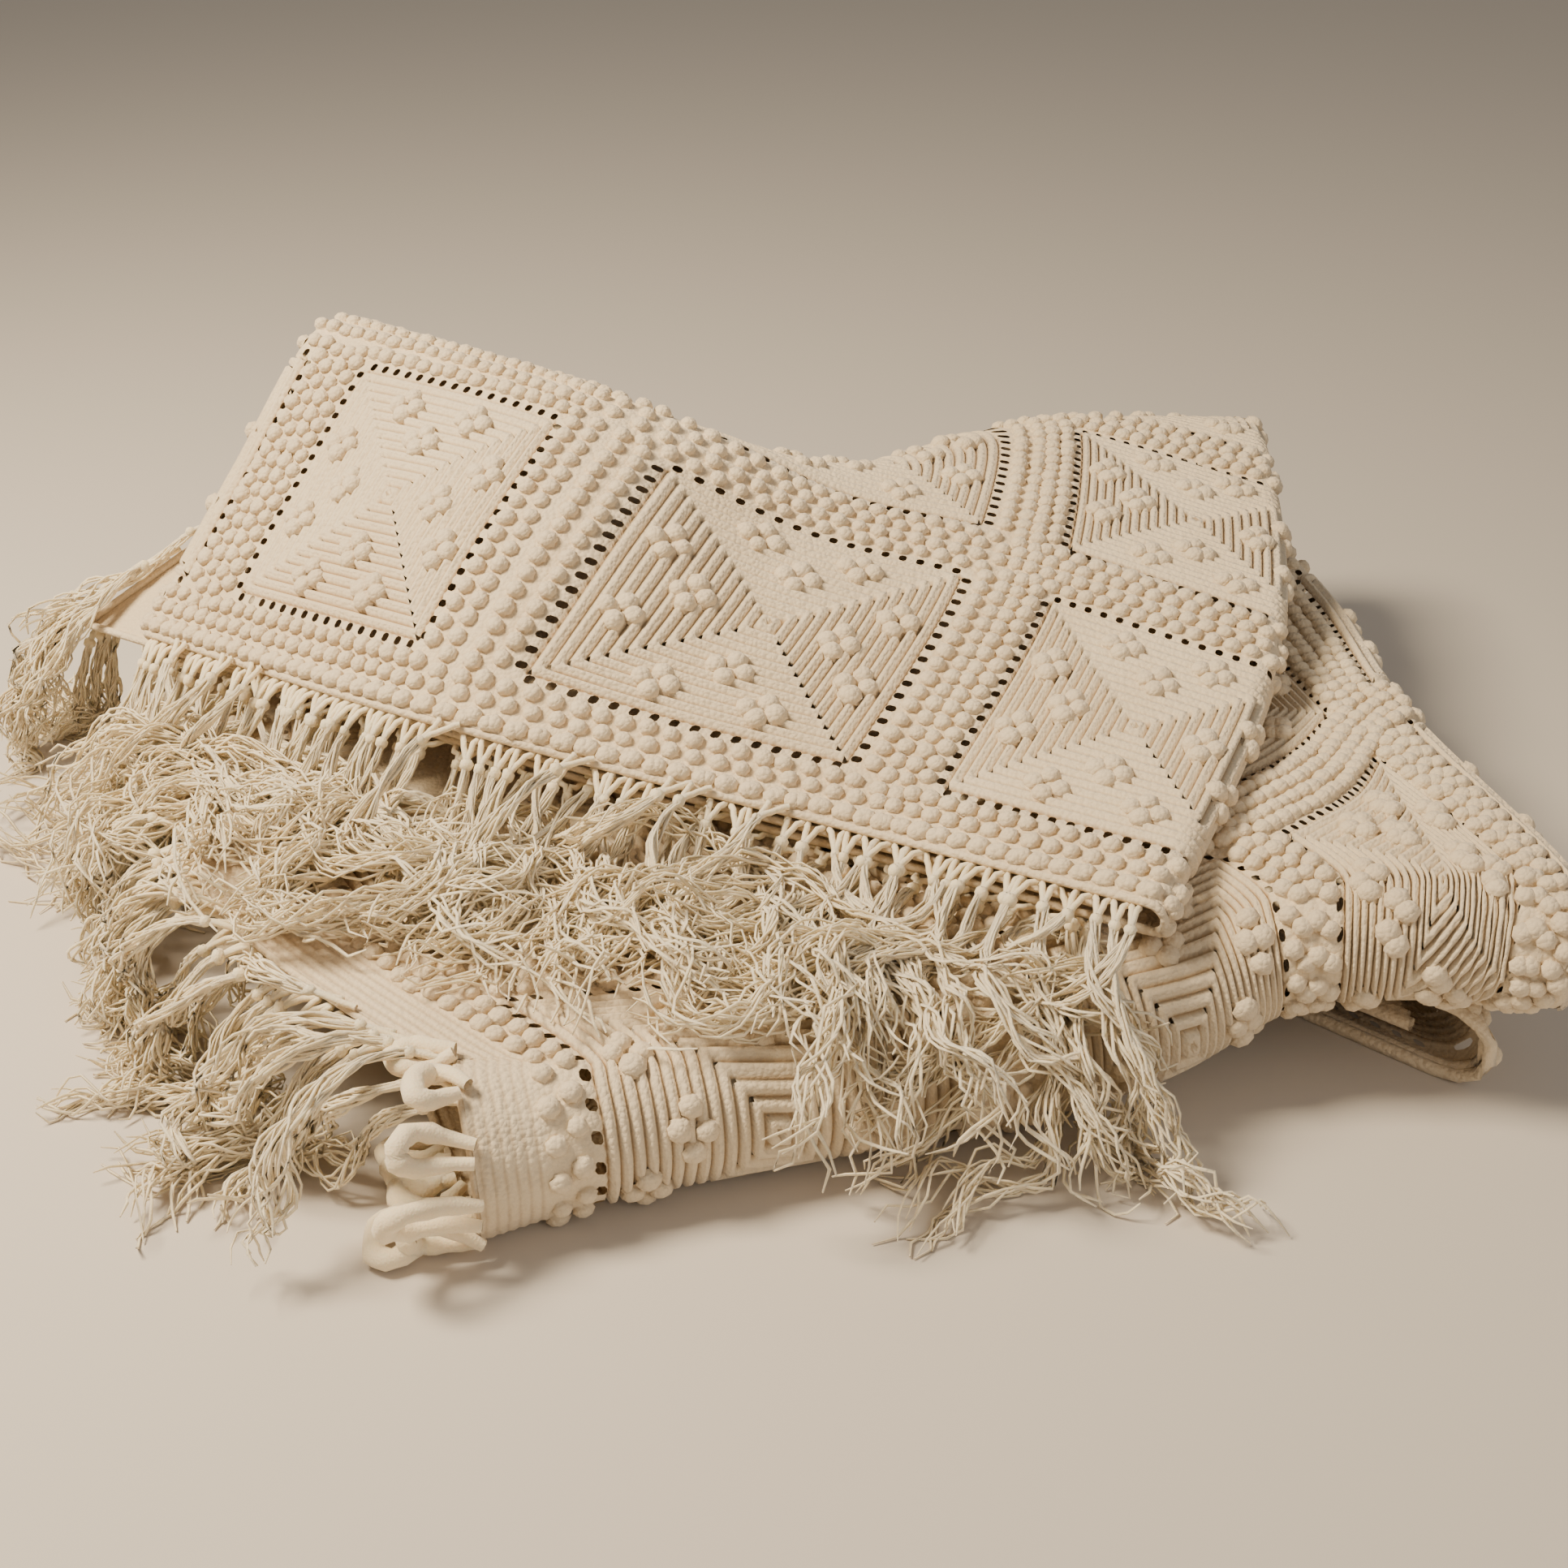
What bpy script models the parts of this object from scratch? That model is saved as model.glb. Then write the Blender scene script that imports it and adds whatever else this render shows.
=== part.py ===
"""Crochet bedspread, folded in thirds and then back and forth into a low heap."""
import bpy
import math
import numpy as np
from mathutils import Vector
from mathutils.bvhtree import BVHTree

# ---- driving dimensions, metres -------------------------------------------------
STRIP = 0.605            # width of the strip after the fold into thirds
REACH = 0.080            # how far the under third sticks out on the left
NARROW = 0.005           # the same where it is tucked below the top layer
TUCK = 0.572             # where the tucked third ends, measured from the left fold
PLY = 0.008              # spacing of the three plies of the strip
PUFF = 0.011             # extra ply spacing where the end of the strip opens
CLOTH = 0.004            # thickness of the crocheted cloth, worked double thick
FRINGE = 0.115           # visible length of the fringe
TASSEL = 0.020           # spacing of the fringe tassels
THICK = 0.0032           # thickness of a tassel
GAP = 0.0014             # air between the cloth edge and a fringe
CLEAR = 0.0050           # distance the fringe keeps from the cloth below it

# Where each line across the strip stands. Columns: name, share of run before it,
# then one point for each place in ACROSS: x, y, z, turning radius (0 for no fold).
ACROSS = (0.0, 0.235, 0.340, 0.440, 0.605)
LINES = (
    ("foot", 0, (
        (-0.352, 0.140, 0.092, 0.0),
        (-0.186, 0.006, 0.113, 0.0),
        (-0.075, -0.030, 0.098, 0.0),
        (0.033, -0.060, 0.084, 0.0),
        (0.168, -0.152, 0.098, 0.0),
    )),
    ("rise", 4, (
        (-0.312, 0.225, 0.155, 0.0),
        (-0.140, 0.085, 0.175, 0.0),
        (-0.005, 0.085, 0.143, 0.0),
        (0.115, 0.110, 0.134, 0.0),
        (0.256, 0.060, 0.128, 0.0),
    )),
    ("crest", 4, (
        (-0.272, 0.292, 0.173, 0.042),
        (-0.100, 0.180, 0.178, 0.030),
        (0.030, 0.208, 0.129, 0.028),
        (0.150, 0.300, 0.122, 0.026),
        (0.292, 0.325, 0.115, 0.026),
    )),
    ("slope", 4, (
        (-0.255, 0.125, 0.068, 0.0),
        (-0.030, 0.085, 0.080, 0.0),
        (0.070, 0.100, 0.072, 0.0),
        (0.175, 0.150, 0.080, 0.0),
        (0.318, 0.180, 0.088, 0.0),
    )),
    ("shelf", 3, (
        (-0.185, -0.070, 0.061, 0.0),
        (0.060, -0.020, 0.062, 0.0),
        (0.140, 0.005, 0.078, 0.0),
        (0.220, 0.012, 0.091, 0.0),
        (0.318, 0.020, 0.103, 0.0),
    )),
    ("roll", 3, (
        (-0.062, -0.205, 0.0335, 0.0235),
        (0.155, -0.140, 0.0380, 0.0235),
        (0.225, -0.122, 0.066, 0.022),
        (0.285, -0.130, 0.079, 0.021),
        (0.352, -0.148, 0.083, 0.020),
    )),
    ("under", 3, (
        (-0.108, -0.095, 0.032, 0.0),
        (0.118, -0.020, 0.033, 0.0),
        (0.195, 0.010, 0.051, 0.0),
        (0.250, 0.000, 0.060, 0.0),
        (0.325, -0.020, 0.063, 0.0),
    )),
    ("back", 4, (
        (-0.272, 0.225, 0.0265, 0.0165),
        (-0.020, 0.315, 0.038, 0.024),
        (0.065, 0.345, 0.0325, 0.0225),
        (0.160, 0.325, 0.0325, 0.0225),
        (0.300, 0.250, 0.0325, 0.0225),
    )),
    ("base", 4, (
        (-0.235, 0.090, 0.010, 0.0),
        (-0.020, 0.130, 0.010, 0.0),
        (0.070, 0.130, 0.010, 0.0),
        (0.165, 0.110, 0.010, 0.0),
        (0.310, 0.080, 0.010, 0.0),
    )),
    ("hem", 4, (
        (-0.210, -0.050, 0.010, 0.0),
        (-0.010, -0.020, 0.010, 0.0),
        (0.080, 0.000, 0.010, 0.0),
        (0.175, -0.030, 0.010, 0.0),
        (0.325, -0.150, 0.010, 0.0),
    )),
)
TURN = 6                 # steps round each fold of the strip


def clear_scene():
    for item in list(bpy.data.objects):
        bpy.data.objects.remove(item, do_unlink=True)


def spline(points, per_span):
    """Centripetal spline through the points; per_span gives the steps of each span."""
    pts = [np.asarray(p, float) for p in points]
    pts = [2 * pts[0] - pts[1]] + pts + [2 * pts[-1] - pts[-2]]
    knots = [0.0]
    for a, b in zip(pts, pts[1:]):
        knots.append(knots[-1] + math.sqrt(float(np.linalg.norm((b - a)[:3]))) + 1e-6)
    out = []
    for k, steps in enumerate(per_span):
        p0, p1, p2, p3 = pts[k:k + 4]
        t0, t1, t2, t3 = knots[k:k + 4]
        for step in range(steps):
            t = t1 + (t2 - t1) * step / steps
            a1 = ((t1 - t) * p0 + (t - t0) * p1) / (t1 - t0)
            a2 = ((t2 - t) * p1 + (t - t1) * p2) / (t2 - t1)
            a3 = ((t3 - t) * p2 + (t - t2) * p3) / (t3 - t2)
            b1 = ((t2 - t) * a1 + (t - t0) * a2) / (t2 - t0)
            b2 = ((t3 - t) * a2 + (t - t1) * a3) / (t3 - t1)
            out.append(((t2 - t) * b1 + (t - t1) * b2) / (t2 - t1))
    out.append(pts[-2])
    return np.array(out)


def line_across(points, places):
    """Point and radius of one line of the table at each place across the strip."""
    steps = 24
    fine = spline([p[:3] for p in points], [steps] * (len(points) - 1))
    at = []
    for a, b in zip(ACROSS, ACROSS[1:]):
        at.extend(a + (b - a) * i / steps for i in range(steps))
    at.append(ACROSS[-1])
    radius = np.interp(places, ACROSS, [p[3] for p in points])
    cols = [np.interp(places, at, fine[:, k]) for k in range(3)]
    return np.column_stack(cols + [radius])


def strip_surface(places):
    """Middle surface of the folded strip: rows across, columns along its length."""
    table = [line_across(row[2], places) for row in LINES]
    surface = []
    for i in range(len(places)):
        points = []
        spans = []
        for k, row in enumerate(table):
            centre = row[i, :3]
            radius = row[i, 3]
            if k:
                spans.append(LINES[k][1])
            if radius == 0.0:
                points.append(centre)
                continue
            along = row[min(i + 1, len(places) - 1), :2] - row[max(i - 1, 0), :2]
            outward = np.array([-along[1], along[0], 0.0])
            outward /= np.linalg.norm(outward)
            inside = (table[k - 1][i, :3] + table[k + 1][i, :3]) / 2
            if np.dot(outward, centre - inside) < 0:
                outward = -outward
            for step in range(TURN + 1):
                angle = math.pi * step / TURN
                up = np.array([0.0, 0.0, math.cos(angle)])
                points.append(centre + radius * (up + outward * math.sin(angle)))
            spans.extend([1] * TURN)
        surface.append(spline(points, spans))
    return np.array(surface)


def normals(grid):
    """Unit normals of a grid of points."""
    d_row = np.gradient(grid, axis=0)
    d_col = np.gradient(grid, axis=1)
    n = np.cross(d_row, d_col)
    return n / np.linalg.norm(n, axis=2, keepdims=True)


def across_path(spacing):
    """Path of the three plies across the strip: place across and height of the ply."""
    inner = [STRIP * k / 7 for k in range(1, 7)]
    right = STRIP - spacing
    left = spacing / 2
    path = [(-REACH, -spacing), (0.0, -spacing)]
    path += [(x, -spacing) for x in inner]
    for k in range(6):
        a = -math.pi / 2 + math.pi * k / 5
        path.append((right + spacing * math.cos(a), spacing * math.sin(a)))
    path += [(x, spacing) for x in reversed(inner)]
    for k in range(5):
        a = math.pi / 2 + math.pi * k / 4
        path.append((left + left * math.cos(a), left + left * math.sin(a)))
    path += [(x, 0.0) for x in inner]
    path.append((TUCK, 0.0))
    return path


def smooth(value):
    """Gentle step from 0 to 1."""
    t = min(max(value, 0.0), 1.0)
    return t * t * (3 - 2 * t)


def spread_grid():
    """Middle surface of the whole spread, ply after ply across, foot to hem along."""
    places = np.linspace(0.0, STRIP, 25)
    middle = strip_surface(places)
    upward = normals(middle)
    count = middle.shape[1]
    last = LINES[-1][1] + LINES[-2][1]
    columns = []
    for j in range(count):
        end = smooth((j - (count - 1 - last)) / last)
        columns.append([])
        for k in range(len(across_path(PLY))):
            near = across_path(PLY)[k][0]
            spacing = PLY + PUFF * end * smooth((near - 0.36) / 0.22)
            x, lift = across_path(spacing)[k]
            if k == 0:
                x = -np.interp(j, (0, 3, 13, 17), (REACH, NARROW, NARROW, REACH))
            pos = x / STRIP * (len(places) - 1)
            i = int(min(max(math.floor(pos), 0), len(places) - 2))
            f = pos - i
            at = middle[i, j] * (1 - f) + middle[i + 1, j] * f
            up = upward[i, j] * (1 - f) + upward[i + 1, j] * f
            at[2] += spacing - PLY
            columns[-1].append(at + lift * up)
    return np.array(columns).transpose(1, 0, 2)


def material(name, colour, rough):
    mat = bpy.data.materials.new(name)
    mat.use_nodes = True
    shader = mat.node_tree.nodes["Principled BSDF"]
    shader.inputs["Base Color"].default_value = (*colour, 1.0)
    shader.inputs["Roughness"].default_value = rough
    return mat


def add_mesh(name, verts, faces, mat):
    mesh = bpy.data.meshes.new(name)
    mesh.from_pydata([tuple(v) for v in verts], [], faces)
    mesh.validate()
    mesh.update()
    obj = bpy.data.objects.new(name, mesh)
    bpy.context.scene.collection.objects.link(obj)
    mesh.materials.append(mat)
    return obj


def spread_solid(grid, mat):
    """The cloth: the grid given thickness on both sides and closed round its rim."""
    n = normals(grid)
    top = grid + n * CLOTH / 2
    low = grid - n * CLOTH / 2
    for side in (top, low):
        near = side[:, :, 2] < 0.0009
        side[:, :, 2][near] = 0.0
    rows, cols = grid.shape[:2]
    verts = list(top.reshape(-1, 3)) + list(low.reshape(-1, 3))
    base = rows * cols
    faces = []
    for i in range(rows - 1):
        for j in range(cols - 1):
            a, b = i * cols + j, (i + 1) * cols + j
            faces.append((a, b, b + 1))
            faces.append((a, b + 1, a + 1))
            faces.append((base + a, base + b + 1, base + b))
            faces.append((base + a, base + a + 1, base + b + 1))
    rim = [i * cols for i in range(rows)]
    rim += [(rows - 1) * cols + j for j in range(1, cols)]
    rim += [i * cols + cols - 1 for i in range(rows - 2, -1, -1)]
    rim += [j for j in range(cols - 2, 0, -1)]
    for a, b in zip(rim, rim[1:] + rim[:1]):
        faces.append((a, base + a, base + b))
        faces.append((a, base + b, b))
    return add_mesh("spread", verts, faces, mat)


def tassel_path(tree, root, away, length, clear, steps=5, fine=3):
    """Middle line of a tassel leaving the cloth edge and lying on what is below it."""
    points = [root]
    lying = [Vector((0.0, 0.0, 1.0))]
    stride = length / (steps * fine)
    drop = 0.1
    for _ in range(steps * fine):
        drop = min(drop + 0.12, 0.85)
        level = math.sqrt(1 - drop * drop)
        step = Vector((away.x * level, away.y * level, -drop)) * stride
        point = points[-1] + step
        normal = Vector((0.0, 0.0, 1.0))
        for _ in range(3):
            hit, _, _, dist = tree.find_nearest(point)
            out = point - hit
            if dist > clear or out.length < 1e-6:
                break
            normal = out.normalized()
            point = hit + normal * (clear + 0.0003)
        if point.z < 0.003:
            point.z = 0.003
            normal = Vector((0.0, 0.0, 1.0))
        points.append(point)
        lying.append(normal)
    return points[::fine], lying[::fine]


def tassel_mesh(ends, path, lying, width):
    """Corners and faces of one tassel grown from the four corners of its root."""
    corners = [Vector(v) for v in ends]
    faces = []
    out = corners[0] + corners[1] - corners[2] - corners[3]
    last = (0, 1, 2, 3)
    for k in range(1, len(path)):
        run = (path[k] - path[k - 1]).normalized()
        side = run.cross(lying[k])
        if side.length < 0.2:
            side = run.cross(out)
        side.normalize()
        if side.dot(corners[1] - corners[0]) < 0:
            side = -side
        up = side.cross(run).normalized()
        if up.dot(out) < 0:
            up = -up
        half = side * width * (1.0 - 0.08 * k) / 2
        up = up * THICK / 2
        base = len(corners)
        for edge, sign in ((-1, 1), (1, 1), (1, -1), (-1, -1)):
            corners.append(path[k] + half * edge + up * sign)
        now = (base, base + 1, base + 2, base + 3)
        for c in range(4):
            d = (c + 1) % 4
            faces.append((last[c], last[d], now[d], now[c]))
        out = up
        last = now
    faces.append(last)
    return corners, faces


def free_of(corners, faces, trees):
    """Whether a tassel is clear of the floor and of everything laid before it."""
    own = BVHTree.FromPolygons(corners, faces)
    if min(c.z for c in corners) < 0.0:
        return False
    return not any(own.overlap(tree) for tree in trees if tree)


def comb(name, tree, roots, aways, sides, length, mat):
    """One fringe: a heading band along the cloth edge with a tassel at each root."""
    verts = []
    faces = []
    band = 0.007
    ring = []
    for root, away, side in zip(roots, aways, sides):
        up = side.cross(away).normalized() * THICK / 2
        ring.append([])
        for depth in (GAP, band):
            for sign in (1, -1):
                verts.append(root + away * depth + up * sign)
                ring[-1].append(len(verts) - 1)
    for a, b in zip(ring, ring[1:]):
        faces.append((a[0], b[0], b[2], a[2]))
        faces.append((a[1], a[3], b[3], b[1]))
        faces.append((a[0], a[1], b[1], b[0]))
    for end, flip in ((ring[0], False), (ring[-1], True)):
        quad = (end[0], end[2], end[3], end[1])
        faces.append(quad[::-1] if flip else quad)
    laid = []
    laid_faces = []
    for k, (a, b) in enumerate(zip(ring, ring[1:])):
        root = (a[2], b[2], b[3], a[3])
        if k % 2:
            faces.append(root)
            continue
        ends = [verts[i] for i in root]
        start = (ends[0] + ends[2]) / 2
        away = (aways[k] + aways[k + 1]).normalized()
        width = (ends[1] - ends[0]).length
        others = BVHTree.FromPolygons(laid, laid_faces) if laid else None
        found = None
        for attempt in range(24):
            clear = CLEAR + 0.0015 * (attempt % 6)
            reach = length * (1.0 - 0.22 * (attempt // 6))
            path, lying = tassel_path(tree, start, away, reach, clear)
            corners, own = tassel_mesh(ends, path, lying, width)
            if free_of(corners, own, (tree, others)):
                found = (corners, own)
                break
        if found is None:
            faces.append(root)
            continue
        corners, own = found
        ids = list(root) + [len(verts) + i for i in range(len(corners) - 4)]
        verts.extend(corners[4:])
        faces.extend([tuple(ids[i] for i in f) for f in own])
        base = len(laid)
        laid.extend(corners)
        laid_faces.extend([[base + i for i in f] for f in own])
    return add_mesh(name, verts, faces, mat)


def edge_rows(line, inner, spacing):
    """Even points along a cloth edge with outward and sideways directions."""
    line = np.asarray(line)
    inner = np.asarray(inner)
    seg = np.linalg.norm(np.diff(line, axis=0), axis=1)
    run = np.concatenate([[0.0], np.cumsum(seg)])
    pairs = int(run[-1] / spacing)
    marks = []
    for k in range(pairs):
        marks.append((k + 0.18) * spacing)
        marks.append((k + 0.82) * spacing)
    points = np.stack([np.interp(marks, run, line[:, k]) for k in range(3)], 1)
    back = np.stack([np.interp(marks, run, inner[:, k]) for k in range(3)], 1)
    roots = [Vector(p) for p in points]
    sides = []
    aways = []
    for k, root in enumerate(roots):
        a = roots[max(k - 1, 0)]
        b = roots[min(k + 1, len(roots) - 1)]
        side = (b - a).normalized()
        away = root - Vector(back[k])
        away = (away - side * away.dot(side)).normalized()
        sides.append(side)
        aways.append(away)
    return roots, aways, sides


clear_scene()
YARN = material("ivory_cotton", (0.80, 0.72, 0.58), 0.85)
STRAND = material("cream_fringe", (0.82, 0.72, 0.54), 0.80)
grid = spread_grid()
spread = spread_solid(grid, YARN)



def tree_of(objects):
    """Search tree over every piece built so far, for laying the next one on them."""
    points = []
    polygons = []
    for obj in objects:
        start = len(points)
        points.extend(v.co.copy() for v in obj.data.vertices)
        for p in obj.data.polygons:
            polygons.append([start + k for k in p.vertices])
    return BVHTree.FromPolygons(points, polygons)


# Fringed edges. Columns: name, rows or columns of the grid from, to, and which edge.
FRINGES = (
    ("side_fringe_pack", 16, 27, "side"),
    ("side_fringe_flap", 0, 3, "side"),
    ("foot_fringe", 19, 12, "foot"),
)
pieces = [spread]
for name, first, final, edge in FRINGES:
    step = 1 if final > first else -1
    order = range(first, final + step, step)
    if edge == "foot":
        line = [grid[i, 0] for i in order]
        inner = [grid[i, 1] for i in order]
    else:
        line = [grid[0, j] for j in order]
        inner = [grid[1, j] for j in order]
    roots, aways, sides = edge_rows(line, inner, TASSEL)
    tree = tree_of(pieces)
    pieces.append(comb(name, tree, roots, aways, sides, FRINGE, STRAND))

# The origin is the middle of the heap at the level it rests on.
corners = np.array([v.co[:] for piece in pieces for v in piece.data.vertices])
middle = (corners.min(axis=0) + corners.max(axis=0)) / 2
shift = Vector((-middle[0], -middle[1], 0.0))
for piece in pieces:
    for v in piece.data.vertices:
        v.co = v.co + shift
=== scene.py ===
"""Looks of the folded crochet bedspread: ribbed popcorn blocks, eyelets and fringe."""
import math
import random
from collections import namedtuple

import bpy
import numpy as np
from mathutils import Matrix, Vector
from mathutils.bvhtree import BVHTree


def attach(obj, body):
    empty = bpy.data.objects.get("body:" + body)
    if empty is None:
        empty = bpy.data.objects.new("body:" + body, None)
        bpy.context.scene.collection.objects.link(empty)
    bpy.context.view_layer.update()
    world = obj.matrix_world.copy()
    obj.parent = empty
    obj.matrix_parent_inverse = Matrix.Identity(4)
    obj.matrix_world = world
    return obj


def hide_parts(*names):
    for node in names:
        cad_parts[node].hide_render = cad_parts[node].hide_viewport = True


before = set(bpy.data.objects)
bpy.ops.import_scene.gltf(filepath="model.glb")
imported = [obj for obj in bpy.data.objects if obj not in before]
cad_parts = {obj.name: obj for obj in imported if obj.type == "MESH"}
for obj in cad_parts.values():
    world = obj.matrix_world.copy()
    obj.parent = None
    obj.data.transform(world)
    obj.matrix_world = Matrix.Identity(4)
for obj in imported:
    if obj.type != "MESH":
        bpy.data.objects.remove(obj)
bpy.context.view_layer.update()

# ---- the folded strip, in metres (the same lines as the solids) --------------------
SHIFT = np.array([0.03938, -0.04947, 0.0])   # puts the heap on the frame's origin
STRIP = 0.605            # width of the cloth once folded in three
REACH = 0.080            # how far the under ply sticks out at the left
NARROW = 0.005           # the same where the raised flap covers it
TUCK = 0.572             # how deep the third ply is tucked in
PLY = 0.008              # spacing of the three plies
PUFF = 0.011             # extra spacing where the tube at the right stands open
CLOTH = 0.004            # thickness
LENGTH = 1.857
BLOCK = 0.205            # one joined popcorn block, seam to seam
SIDE_EDGING = 0.030
FOOT_EDGING = 0.012
ACROSS = (0.0, 0.235, 0.340, 0.440, 0.605)   # places of the points of each line
# each line across the strip: name, steps to it, and its points (x, y, z, fold radius)
LINES = (
    ("foot", 0, (
        (-0.352, 0.140, 0.092, 0.0),
        (-0.186, 0.006, 0.113, 0.0),
        (-0.075, -0.030, 0.098, 0.0),
        (0.033, -0.060, 0.084, 0.0),
        (0.168, -0.152, 0.098, 0.0),
    )),
    ("rise", 4, (
        (-0.312, 0.225, 0.155, 0.0),
        (-0.140, 0.085, 0.175, 0.0),
        (-0.005, 0.085, 0.143, 0.0),
        (0.115, 0.110, 0.134, 0.0),
        (0.256, 0.060, 0.128, 0.0),
    )),
    ("crest", 4, (
        (-0.272, 0.292, 0.173, 0.042),
        (-0.100, 0.180, 0.178, 0.030),
        (0.030, 0.208, 0.129, 0.028),
        (0.150, 0.300, 0.122, 0.026),
        (0.292, 0.325, 0.115, 0.026),
    )),
    ("slope", 4, (
        (-0.255, 0.125, 0.068, 0.0),
        (-0.030, 0.085, 0.080, 0.0),
        (0.070, 0.100, 0.072, 0.0),
        (0.175, 0.150, 0.080, 0.0),
        (0.318, 0.180, 0.088, 0.0),
    )),
    ("shelf", 3, (
        (-0.185, -0.070, 0.061, 0.0),
        (0.060, -0.020, 0.062, 0.0),
        (0.140, 0.005, 0.078, 0.0),
        (0.220, 0.012, 0.091, 0.0),
        (0.318, 0.020, 0.103, 0.0),
    )),
    ("roll", 3, (
        (-0.062, -0.205, 0.0335, 0.0235),
        (0.155, -0.140, 0.0380, 0.0235),
        (0.225, -0.122, 0.066, 0.022),
        (0.285, -0.130, 0.079, 0.021),
        (0.352, -0.148, 0.083, 0.020),
    )),
    ("under", 3, (
        (-0.108, -0.095, 0.032, 0.0),
        (0.118, -0.020, 0.033, 0.0),
        (0.195, 0.010, 0.051, 0.0),
        (0.250, 0.000, 0.060, 0.0),
        (0.325, -0.020, 0.063, 0.0),
    )),
    ("back", 4, (
        (-0.272, 0.225, 0.0265, 0.0165),
        (-0.020, 0.315, 0.038, 0.024),
        (0.065, 0.345, 0.0325, 0.0225),
        (0.160, 0.325, 0.0325, 0.0225),
        (0.300, 0.250, 0.0325, 0.0225),
    )),
    ("base", 4, (
        (-0.235, 0.090, 0.010, 0.0),
        (-0.020, 0.130, 0.010, 0.0),
        (0.070, 0.130, 0.010, 0.0),
        (0.165, 0.110, 0.010, 0.0),
        (0.310, 0.080, 0.010, 0.0),
    )),
    ("hem", 4, (
        (-0.210, -0.050, 0.010, 0.0),
        (-0.010, -0.020, 0.010, 0.0),
        (0.080, 0.000, 0.010, 0.0),
        (0.175, -0.030, 0.010, 0.0),
        (0.325, -0.150, 0.010, 0.0),
    )),
)
TURN = 6                 # spans in the half circle of a fold
FINE = 10                # extra steps in each span of the strip
ACROSS_STEPS = 24        # steps between two points of a line
SEED = 7
random.seed(SEED)
RNG = np.random.default_rng(SEED)


# ---- middle surface of the strip ----------------------------------------------------
def spline(points, per_span):
    """Centripetal Catmull-Rom curve through the points."""
    pts = [np.asarray(p, float) for p in points]
    pts = [2 * pts[0] - pts[1]] + pts + [2 * pts[-1] - pts[-2]]
    knots = [0.0]
    for a, b in zip(pts, pts[1:]):
        knots.append(knots[-1] + math.sqrt(float(np.linalg.norm((b - a)[:3]))) + 1e-6)
    out = []
    for k, steps in enumerate(per_span):
        p0, p1, p2, p3 = pts[k:k + 4]
        t0, t1, t2, t3 = knots[k:k + 4]
        t = (t1 + (t2 - t1) * np.arange(steps) / steps)[:, None]
        a1 = ((t1 - t) * p0 + (t - t0) * p1) / (t1 - t0)
        a2 = ((t2 - t) * p1 + (t - t1) * p2) / (t2 - t1)
        a3 = ((t3 - t) * p2 + (t - t2) * p3) / (t3 - t2)
        b1 = ((t2 - t) * a1 + (t - t0) * a2) / (t2 - t0)
        b2 = ((t3 - t) * a2 + (t - t1) * a3) / (t3 - t1)
        out.append(((t2 - t) * b1 + (t - t1) * b2) / (t2 - t1))
    out.append(pts[-2][None])
    return np.concatenate(out)


def line_across(points, places):
    """Points and fold radius of one line at the given places across the strip."""
    steps = ACROSS_STEPS
    fine = spline([p[:3] for p in points], [steps] * (len(points) - 1))
    at = []
    for a, b in zip(ACROSS, ACROSS[1:]):
        at.extend(a + (b - a) * i / steps for i in range(steps))
    at.append(ACROSS[-1])
    radius = np.interp(places, ACROSS, [p[3] for p in points])
    cols = [np.interp(places, at, fine[:, k]) for k in range(3)]
    return np.column_stack(cols + [radius])


def strip_columns(places):
    """Fine points along each column of the strip, and where each line falls on it."""
    table = [line_across(row[2], places) for row in LINES]
    columns = []
    marks = {}
    for i in range(len(places)):
        points = []
        spans = []
        total = 0
        for k, row in enumerate(table):
            name = LINES[k][0]
            centre = row[i, :3]
            radius = row[i, 3]
            if k:
                spans.append(LINES[k][1] * FINE)
                total += spans[-1]
            marks[name] = total
            if radius == 0.0:
                points.append(centre)
                continue
            along = row[min(i + 1, len(places) - 1), :2] - row[max(i - 1, 0), :2]
            outward = np.array([-along[1], along[0], 0.0])
            outward /= np.linalg.norm(outward)
            inside = (table[k - 1][i, :3] + table[k + 1][i, :3]) / 2
            if np.dot(outward, centre - inside) < 0:
                outward = -outward
            for step in range(TURN + 1):
                angle = math.pi * step / TURN
                up = np.array([0.0, 0.0, math.cos(angle)])
                points.append(centre + radius * (up + outward * math.sin(angle)))
            spans.extend([FINE // 2] * TURN)
            total += TURN * (FINE // 2)
            marks[name + "_end"] = total
        columns.append(spline(points, spans) + SHIFT)
    return np.array(columns), marks


STEP_U = 0.002           # grid of the cloth surface, across and along
STEP_S = 0.002
PLACES = np.linspace(0.0, STRIP, 45)
ALONG = np.arange(0.0, LENGTH + STEP_S, STEP_S)
ROLL_ROW = FOOT_EDGING + 4.5 * BLOCK     # the row of blocks whose middle is on the roll
HIDDEN_SHARE = 0.80      # least share of its path that the hidden slope's cloth keeps
HIDDEN_LEAST = 0.50      # the same after smoothing
SMOOTHED = 6             # columns on each side that are averaged


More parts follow.
